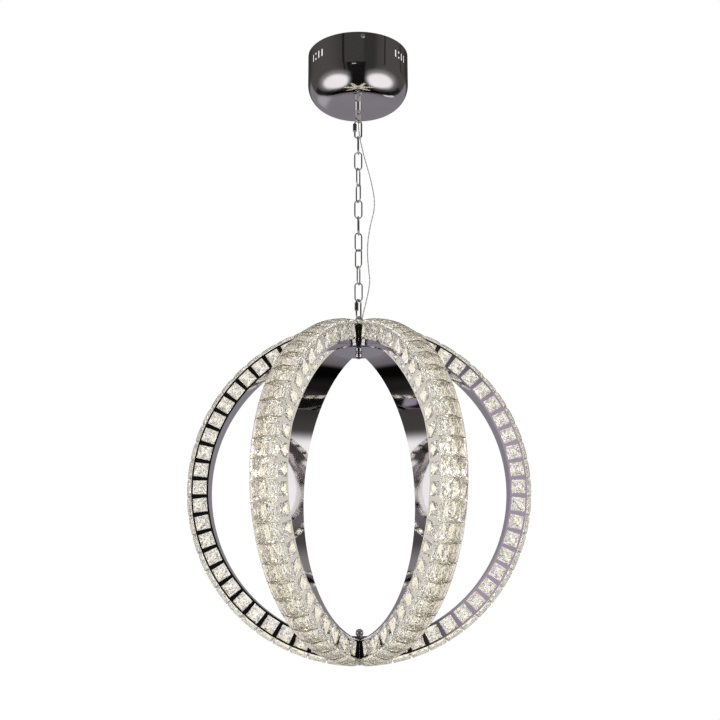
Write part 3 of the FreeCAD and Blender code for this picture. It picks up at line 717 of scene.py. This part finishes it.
finish_of = {
    "canopy_cup": canopy_steel,
    "canopy_loop": chain_steel,
    "led_driver": case_plastic,
    "terminal_block": block_plastic,
    "driver_leads": lead_plastic,
    "light_cord": cord_finish,
    "canopy_grommet": black_rubber,
    "orb_grommet": black_rubber,
    "led_strips": lamp_strip,
}
for name in frame["nodes"]:
    if name in finish_of:
        material = finish_of[name]
    elif "_frame" in name:
        material = arc_steel
    elif "link" in name or "eyelet" in name:
        material = chain_steel
    elif name.startswith(("top_", "bottom_")):
        material = hub_steel
    else:
        material = zinc
    dress(name, material)
for piece in cord_pieces:
    piece.data.materials.append(cord_finish)
print("dressed", len(frame["nodes"]), "nodes and", len(cord_pieces), "cord pieces")

# %% [markdown]
# ## Cut crystals
#
# The crystals are clear pressed glass with polished facets. A stone is built from rings of eight
# corners, one above the other: a point or a narrow ring at the back, the widest ring at the girdle,
# and a table at the front. Each ring is joined to the next by flat facets, and flat shading keeps
# every facet a small window or mirror of its own.


# %% A stone from rings of corners
def ring_of(length, width, height, corner):
    """Eight corners of a rectangle whose corners are cut off by that much, in millimetres."""
    x, y = length / 2, width / 2
    short_x, short_y = x - corner, y - corner
    plus_side = [(x, short_y), (short_x, y), (-short_x, y), (-x, short_y)]
    minus_side = [(-x, -short_y), (-short_x, -y), (short_x, -y), (x, -short_y)]
    return [Vector((a * MM, b * MM, height * MM)) for a, b in plus_side + minus_side]


STEEP_END = 0.55  # a face that points this much along the arc meets the next stone


def stone_mesh(name, rings, culet=None):
    """Faces between the rings; a culet closes the back in a point."""
    bm = bmesh.new()
    loops = [[bm.verts.new(p) for p in ring] for ring in rings]
    corners = len(loops[0])
    for a, b in zip(loops, loops[1:]):
        for k in range(corners):
            n = (k + 1) % corners
            bm.faces.new((a[k], a[n], b[n], b[k]))
    bm.faces.new(loops[-1])
    if culet is None:
        bm.faces.new(list(reversed(loops[0])))
    else:
        tip = bm.verts.new(culet)
        for k in range(corners):
            bm.faces.new((tip, loops[0][(k + 1) % corners], loops[0][k]))
    bmesh.ops.recalc_face_normals(bm, faces=bm.faces)
    end_faces = bm.faces.layers.float.new("end")
    for face in bm.faces:
        face[end_faces] = 1.0 if abs(face.normal.x) > STEEP_END else 0.0
    mesh = bpy.data.meshes.new(name)
    bm.to_mesh(mesh)
    bm.free()
    return mesh


# %% [markdown]
# An outer stone is a wide roof: a keel at the back, a straight girdle that meets its neighbours,
# and a narrow table at the ridge. A side stone is a square with a pointed back, set in its window.
# The faces that meet the next stone are marked, because the joints between crystals read darker.

# %% The two stones
outer_length, outer_width = 31.7, 49.7
side_edge = 23.2
outer_stone = stone_mesh(
    "outer_stone",
    [
        ring_of(20.0, 8.0, -8.5, 3.0),
        ring_of(31.0, 40.8, -0.6, 3.0),
        ring_of(outer_length, outer_width, 0.3, 0.8),
        ring_of(outer_length, outer_width, 3.7, 0.8),
        ring_of(29.4, 16.0, 9.4, 5.0),
    ],
)
side_stone = stone_mesh(
    "side_stone",
    [
        ring_of(side_edge, side_edge, -2.4, 1.0),
        ring_of(side_edge, side_edge, 0.4, 1.0),
        ring_of(10.4, 10.4, 4.1, 0.8),
    ],
    culet=Vector((0, 0, -7.5 * MM)),
)
print("facets", len(outer_stone.polygons), len(side_stone.polygons))

# %% [markdown]
# The glass is clear, with faint warm veils. Real cut crystal has many more facets than a stone
# here, so a bump of small cones, about 5 mm apart, breaks each facet up. The lamp strips light the
# glass from behind, and a faint patchy glow in it stands for the light that its facets scatter.


# %% Crystal glass
def crystal_glass(name, pale, warm, end_shade, glow, strength):
    glass = new_finish(name)
    place = glass.place()
    veil = glass.noise(place, 60.0)
    cloud = glass.noise(place, 230.0, detail=1)
    cones = {"Vector": place, "Scale": 190.0}
    cells = glass.node("ShaderNodeTexVoronoi", {"feature": "F1"}, cones, out="Distance")
    at_end = glass.node("ShaderNodeAttribute", {"attribute_name": "end"}, out="Fac")
    tint = glass.mix(at_end, glass.mix(veil.ramp(0.3, 0.7), warm, pale), end_shade)
    return glass.surface(
        Base_Color=tint,
        Roughness=veil.ramp(0.5, 0.8) * 0.02,
        Transmission_Weight=1.0,
        IOR=1.5,
        Emission_Color=glass.mix(cloud.ramp(0.44, 0.58), (0.0, 0.0, 0.0), glow),
        Emission_Strength=strength,
        Normal=glass.bump(cells, 1.2 * MM, 0.5),
    )


outer_crystal = crystal_glass(
    "outer_crystal",
    pale=(1.0, 1.0, 1.0),
    warm=(1.0, 0.985, 0.91),
    end_shade=(0.45, 0.40, 0.32),
    glow=(1.0, 0.93, 0.72),
    strength=0.045,
)
side_crystal = crystal_glass(
    "side_crystal",
    pale=(0.98, 0.99, 1.0),
    warm=(0.96, 0.95, 0.95),
    end_shade=(0.90, 0.88, 0.84),
    glow=(1.0, 0.96, 0.88),
    strength=0.04,
)
print("glass finishes", outer_crystal.name, side_crystal.name)

# %% [markdown]
# ## Setting the crystals with Geometry Nodes
#
# Every arc carries the same row of stones, one step of 6.34 degrees apart, so the row follows a
# rule and Geometry Nodes can lay it. The tree puts one point for each stone, turns it to its angle
# on the arc, and sets a copy of the stone there. The same tree serves the outer stones and the ones
# in the windows of the side plates: only the named inputs differ.


# %% The row-of-stones tree
def row_tree():
    """One stone at every step along an arc, on the arc's outside or on a side plate."""
    tree = bpy.data.node_groups.new("row_of_stones", "GeometryNodeTree")
    inputs = [
        ("Stone", "NodeSocketObject"),
        ("Count", "NodeSocketInt"),
        ("Step", "NodeSocketFloat"),
        ("Radius", "NodeSocketFloat"),
        ("Side", "NodeSocketFloat"),
        ("Face turn", "NodeSocketFloat"),
        ("Arc turn", "NodeSocketFloat"),
        ("Height", "NodeSocketFloat"),
        ("Finish", "NodeSocketMaterial"),
    ]
    tree.interface.new_socket("Geometry", in_out="INPUT", socket_type="NodeSocketGeometry")
    for name, kind in inputs:
        tree.interface.new_socket(name, in_out="INPUT", socket_type=kind)
    tree.interface.new_socket("Geometry", in_out="OUTPUT", socket_type="NodeSocketGeometry")
    add = tree.nodes.new
    link = tree.links.new
    group_in, group_out = add("NodeGroupInput"), add("NodeGroupOutput")

    def maths(operation, a, b):
        made = add("ShaderNodeMath")
        made.operation = operation
        for socket, value in zip(made.inputs, (a, b)):
            if isinstance(value, (int, float)):
                socket.default_value = value
            else:
                link(value, socket)
        return made.outputs[0]

    line = add("GeometryNodeMeshLine")
    link(group_in.outputs["Count"], line.inputs["Count"])
    line.inputs["Offset"].default_value = (0, 0, 0)
    points = add("GeometryNodeMeshToPoints")
    link(line.outputs["Mesh"], points.inputs["Mesh"])
    index = add("GeometryNodeInputIndex")
    middle = maths("DIVIDE", maths("SUBTRACT", group_in.outputs["Count"], 1), 2)
    angle = maths("MULTIPLY", maths("SUBTRACT", index.outputs[0], middle), group_in.outputs["Step"])

    stone = add("GeometryNodeObjectInfo")
    link(group_in.outputs["Stone"], stone.inputs["Object"])

    # The stone's own axes: X along the arc, Y across it, Z outwards. On a side plate it is first
    # turned to face sideways, then moved out to its radius and across to its plate.
    face = add("GeometryNodeTransform")
    link(stone.outputs["Geometry"], face.inputs["Geometry"])
    turn = add("ShaderNodeCombineXYZ")
    link(group_in.outputs["Face turn"], turn.inputs["X"])
    link(turn.outputs[0], face.inputs["Rotation"])
    shift = add("ShaderNodeCombineXYZ")
    link(group_in.outputs["Side"], shift.inputs["Y"])
    link(group_in.outputs["Radius"], shift.inputs["Z"])
    link(shift.outputs[0], face.inputs["Translation"])

    copies = add("GeometryNodeInstanceOnPoints")
    link(points.outputs["Points"], copies.inputs["Points"])
    link(face.outputs["Geometry"], copies.inputs["Instance"])
    tilt = add("ShaderNodeCombineXYZ")
    link(maths("SUBTRACT", math.pi / 2, angle), tilt.inputs["Y"])
    link(tilt.outputs[0], copies.inputs["Rotation"])

    place = add("GeometryNodeTransform")
    link(copies.outputs["Instances"], place.inputs["Geometry"])
    about = add("ShaderNodeCombineXYZ")
    link(group_in.outputs["Arc turn"], about.inputs["Z"])
    link(about.outputs[0], place.inputs["Rotation"])
    drop = add("ShaderNodeCombineXYZ")
    link(group_in.outputs["Height"], drop.inputs["Z"])
    link(drop.outputs[0], place.inputs["Translation"])

    solid = add("GeometryNodeRealizeInstances")
    link(place.outputs["Geometry"], solid.inputs["Geometry"])
    paint = add("GeometryNodeSetMaterial")
    link(solid.outputs["Geometry"], paint.inputs["Geometry"])
    link(group_in.outputs["Finish"], paint.inputs["Material"])
    link(paint.outputs["Geometry"], group_out.inputs["Geometry"])
    return tree


stones_tree = row_tree()
print("row tree", len(stones_tree.nodes), "nodes")

# %% [markdown]
# The tree runs once for each row, and what it makes is kept as a plain mesh, because the stones
# next to the poles still have to be cut. Six arcs meet there, and each keeps only its own sixth of
# the circle. A plane along the mitre cuts the stones, and a new facet closes every cut.


# %% Helpers that run the tree and cut the last stones
def bake_tree(name, tree, values):
    """Runs a tree once with those inputs and keeps the result as a plain mesh."""
    host = link_object(name + "_host", bpy.data.meshes.new(name + "_host"))
    modifier = host.modifiers.new("tree", "NODES")
    modifier.node_group = tree
    for item in tree.interface.items_tree:
        if item.item_type == "SOCKET" and item.in_out == "INPUT" and item.name in values:
            modifier[item.identifier] = values[item.name]
    bpy.context.view_layer.update()
    evaluated = host.evaluated_get(bpy.context.evaluated_depsgraph_get())
    mesh = bpy.data.meshes.new_from_object(evaluated)
    mesh.name = name
    bpy.data.objects.remove(host)
    return mesh


arc_count = 6
stone_step = math.radians(6.34)
mitre_angle = math.radians(180 / arc_count)
near_pole = 75 * MM  # from the axis, where neighbouring arcs meet
mitre_gap = 0.3 * MM


def trimmed_at_pole(mesh, arc_turn):
    """Cuts the stones next to the poles along the mitre on both sides of their arc."""
    bm = bmesh.new()
    bm.from_mesh(mesh)
    for side in (-1, 1):
        edge = arc_turn + side * mitre_angle
        normal = Vector((-math.sin(edge), math.cos(edge), 0)) * side
        near = [v for v in bm.verts if v.co.xy.length < near_pole]
        faces = {f for v in near for f in v.link_faces}
        geom = list(near) + list({e for f in faces for e in f.edges}) + list(faces)
        bmesh.ops.bisect_plane(
            bm,
            geom=geom,
            plane_co=-normal * mitre_gap,
            plane_no=normal,
            clear_outer=True,
        )
        open_edges = [e for e in bm.edges if e.is_boundary]
        if open_edges:
            bmesh.ops.holes_fill(bm, edges=open_edges, sides=0)
    bmesh.ops.recalc_face_normals(bm, faces=bm.faces)
    bm.to_mesh(mesh)
    bm.free()


# %% Lay the stones of all six arcs
outer_count, side_count = 27, 25
outer_girdle = METAL_RADIUS + 0.4 * MM
window_middle = METAL_RADIUS - 15.0 * MM
plate_side = 25.0 * MM

patterns = {
    name: link_object(name + "_pattern", mesh)
    for name, mesh in (("outer", outer_stone), ("side", side_stone))
}
for k in range(arc_count):
    arc_turn = k * 2 * math.pi / arc_count
    on_this_arc = {"Step": stone_step, "Arc turn": arc_turn, "Height": ORB_CENTRE.z}
    outer_row = {"Stone": patterns["outer"], "Count": outer_count, "Radius": outer_girdle}
    outer = bake_tree(
        f"arc_{k + 1}_outer_stones",
        stones_tree,
        {**on_this_arc, **outer_row, "Finish": outer_crystal},
    )
    trimmed_at_pole(outer, arc_turn)
    piece = link_object(outer.name, outer)
    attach(piece, "orb")
    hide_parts(f"arc_{k + 1}_outer_crystals")

    bm = bmesh.new()
    side_row = {"Stone": patterns["side"], "Count": side_count, "Radius": window_middle}
    for side in (-1, 1):
        on_this_side = {"Side": side * plate_side, "Face turn": -side * math.pi / 2}
        row = bake_tree(
            f"arc_{k + 1}_side_stones",
            stones_tree,
            {**on_this_arc, **side_row, **on_this_side, "Finish": side_crystal},
        )
        bm.from_mesh(row)
    both_sides = bpy.data.meshes.new(f"arc_{k + 1}_side_stones")
    bm.to_mesh(both_sides)
    bm.free()
    both_sides.materials.append(side_crystal)
    piece = link_object(both_sides.name, both_sides)
    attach(piece, "orb")
    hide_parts(f"arc_{k + 1}_side_crystals")
for pattern in patterns.values():
    bpy.data.objects.remove(pattern)
print("stones laid on", arc_count, "arcs")
